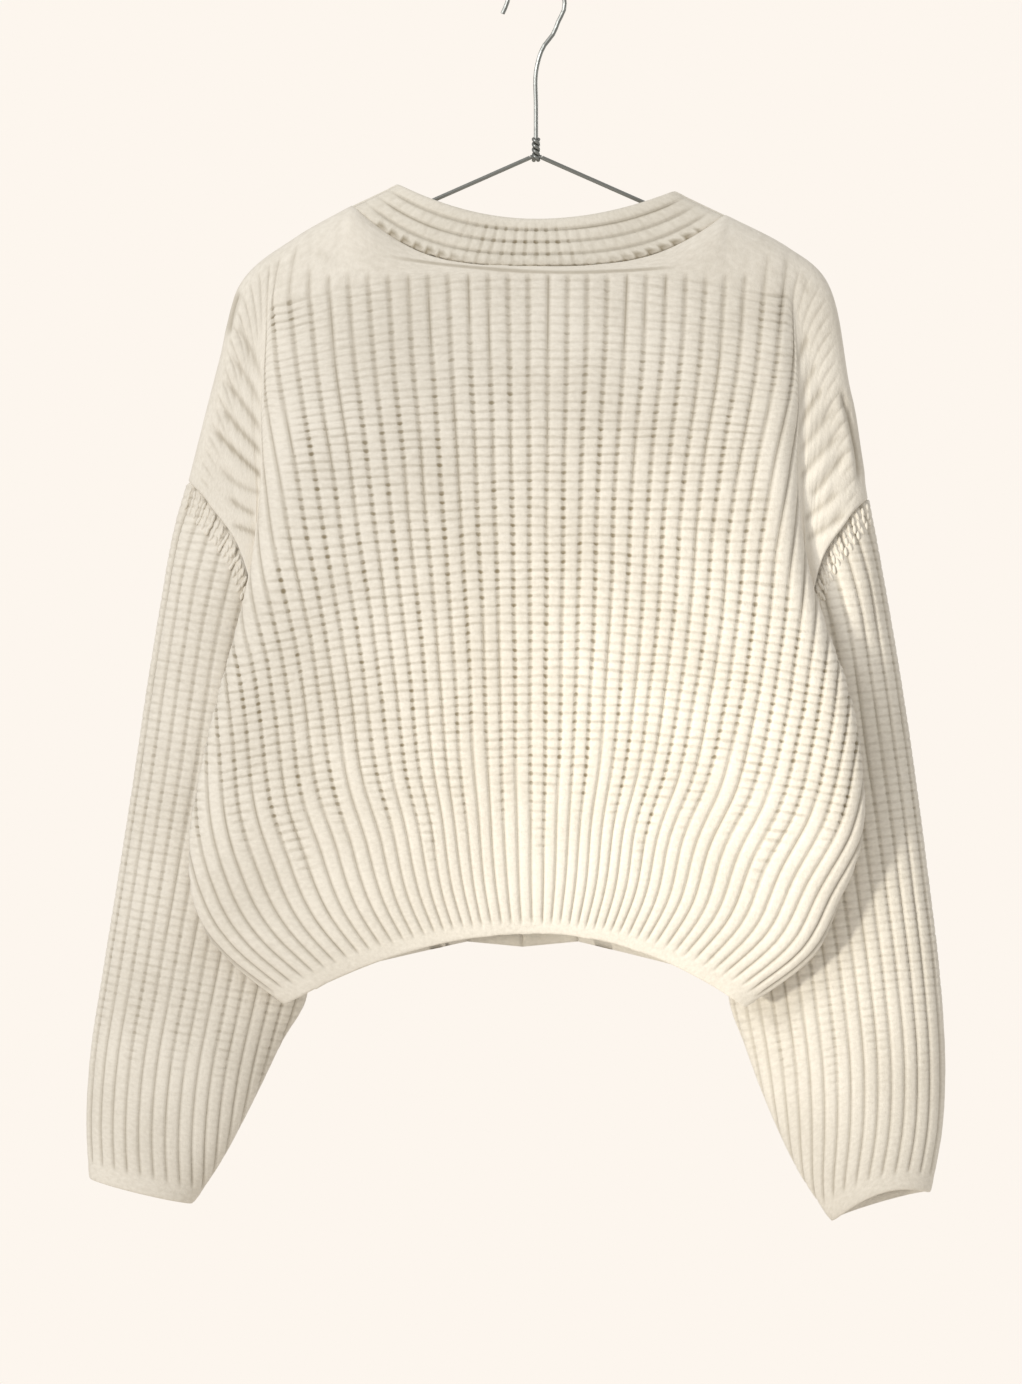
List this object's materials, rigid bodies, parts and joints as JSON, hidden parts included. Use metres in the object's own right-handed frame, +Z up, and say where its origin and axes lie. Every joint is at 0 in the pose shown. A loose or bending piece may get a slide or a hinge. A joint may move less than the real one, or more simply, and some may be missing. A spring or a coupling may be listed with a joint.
{
  "type": "cropped rib knit cardigan on a wire hanger",
  "caption": "Cropped chunky half-cardigan rib knit cardigan with dropped shoulders, V neck and full sleeves, hanging open and empty on a plain bent wire hanger.",
  "frame": {"origin": "inside top of the hanger's hook, where the rail carries it", "axes": "+Z up, +Y out of the fronts (the back panel faces -Y), +X to the right as seen from behind the garment"},
  "size_m": [0.646, 0.116, 0.9382],
  "materials": {
    "rib_knit": "soft matt wool rib knit",
    "rib_band": "soft matt wool rib knit",
    "steel_wire": "drawn wire, satin"
  },
  "bodies": {
    "root": {"back": "rib_knit", "front_left": "rib_knit", "front_right": "rib_knit", "sleeve_left": "rib_knit", "sleeve_right": "rib_knit", "neckband": "rib_band", "band_left": "rib_band", "band_right": "rib_band", "hanger_hook": "steel_wire", "hanger_twist": "steel_wire", "hanger_arm_left": "steel_wire", "hanger_arm_right": "steel_wire", "hanger_bar": "steel_wire"}
  },
  "joints": []
}
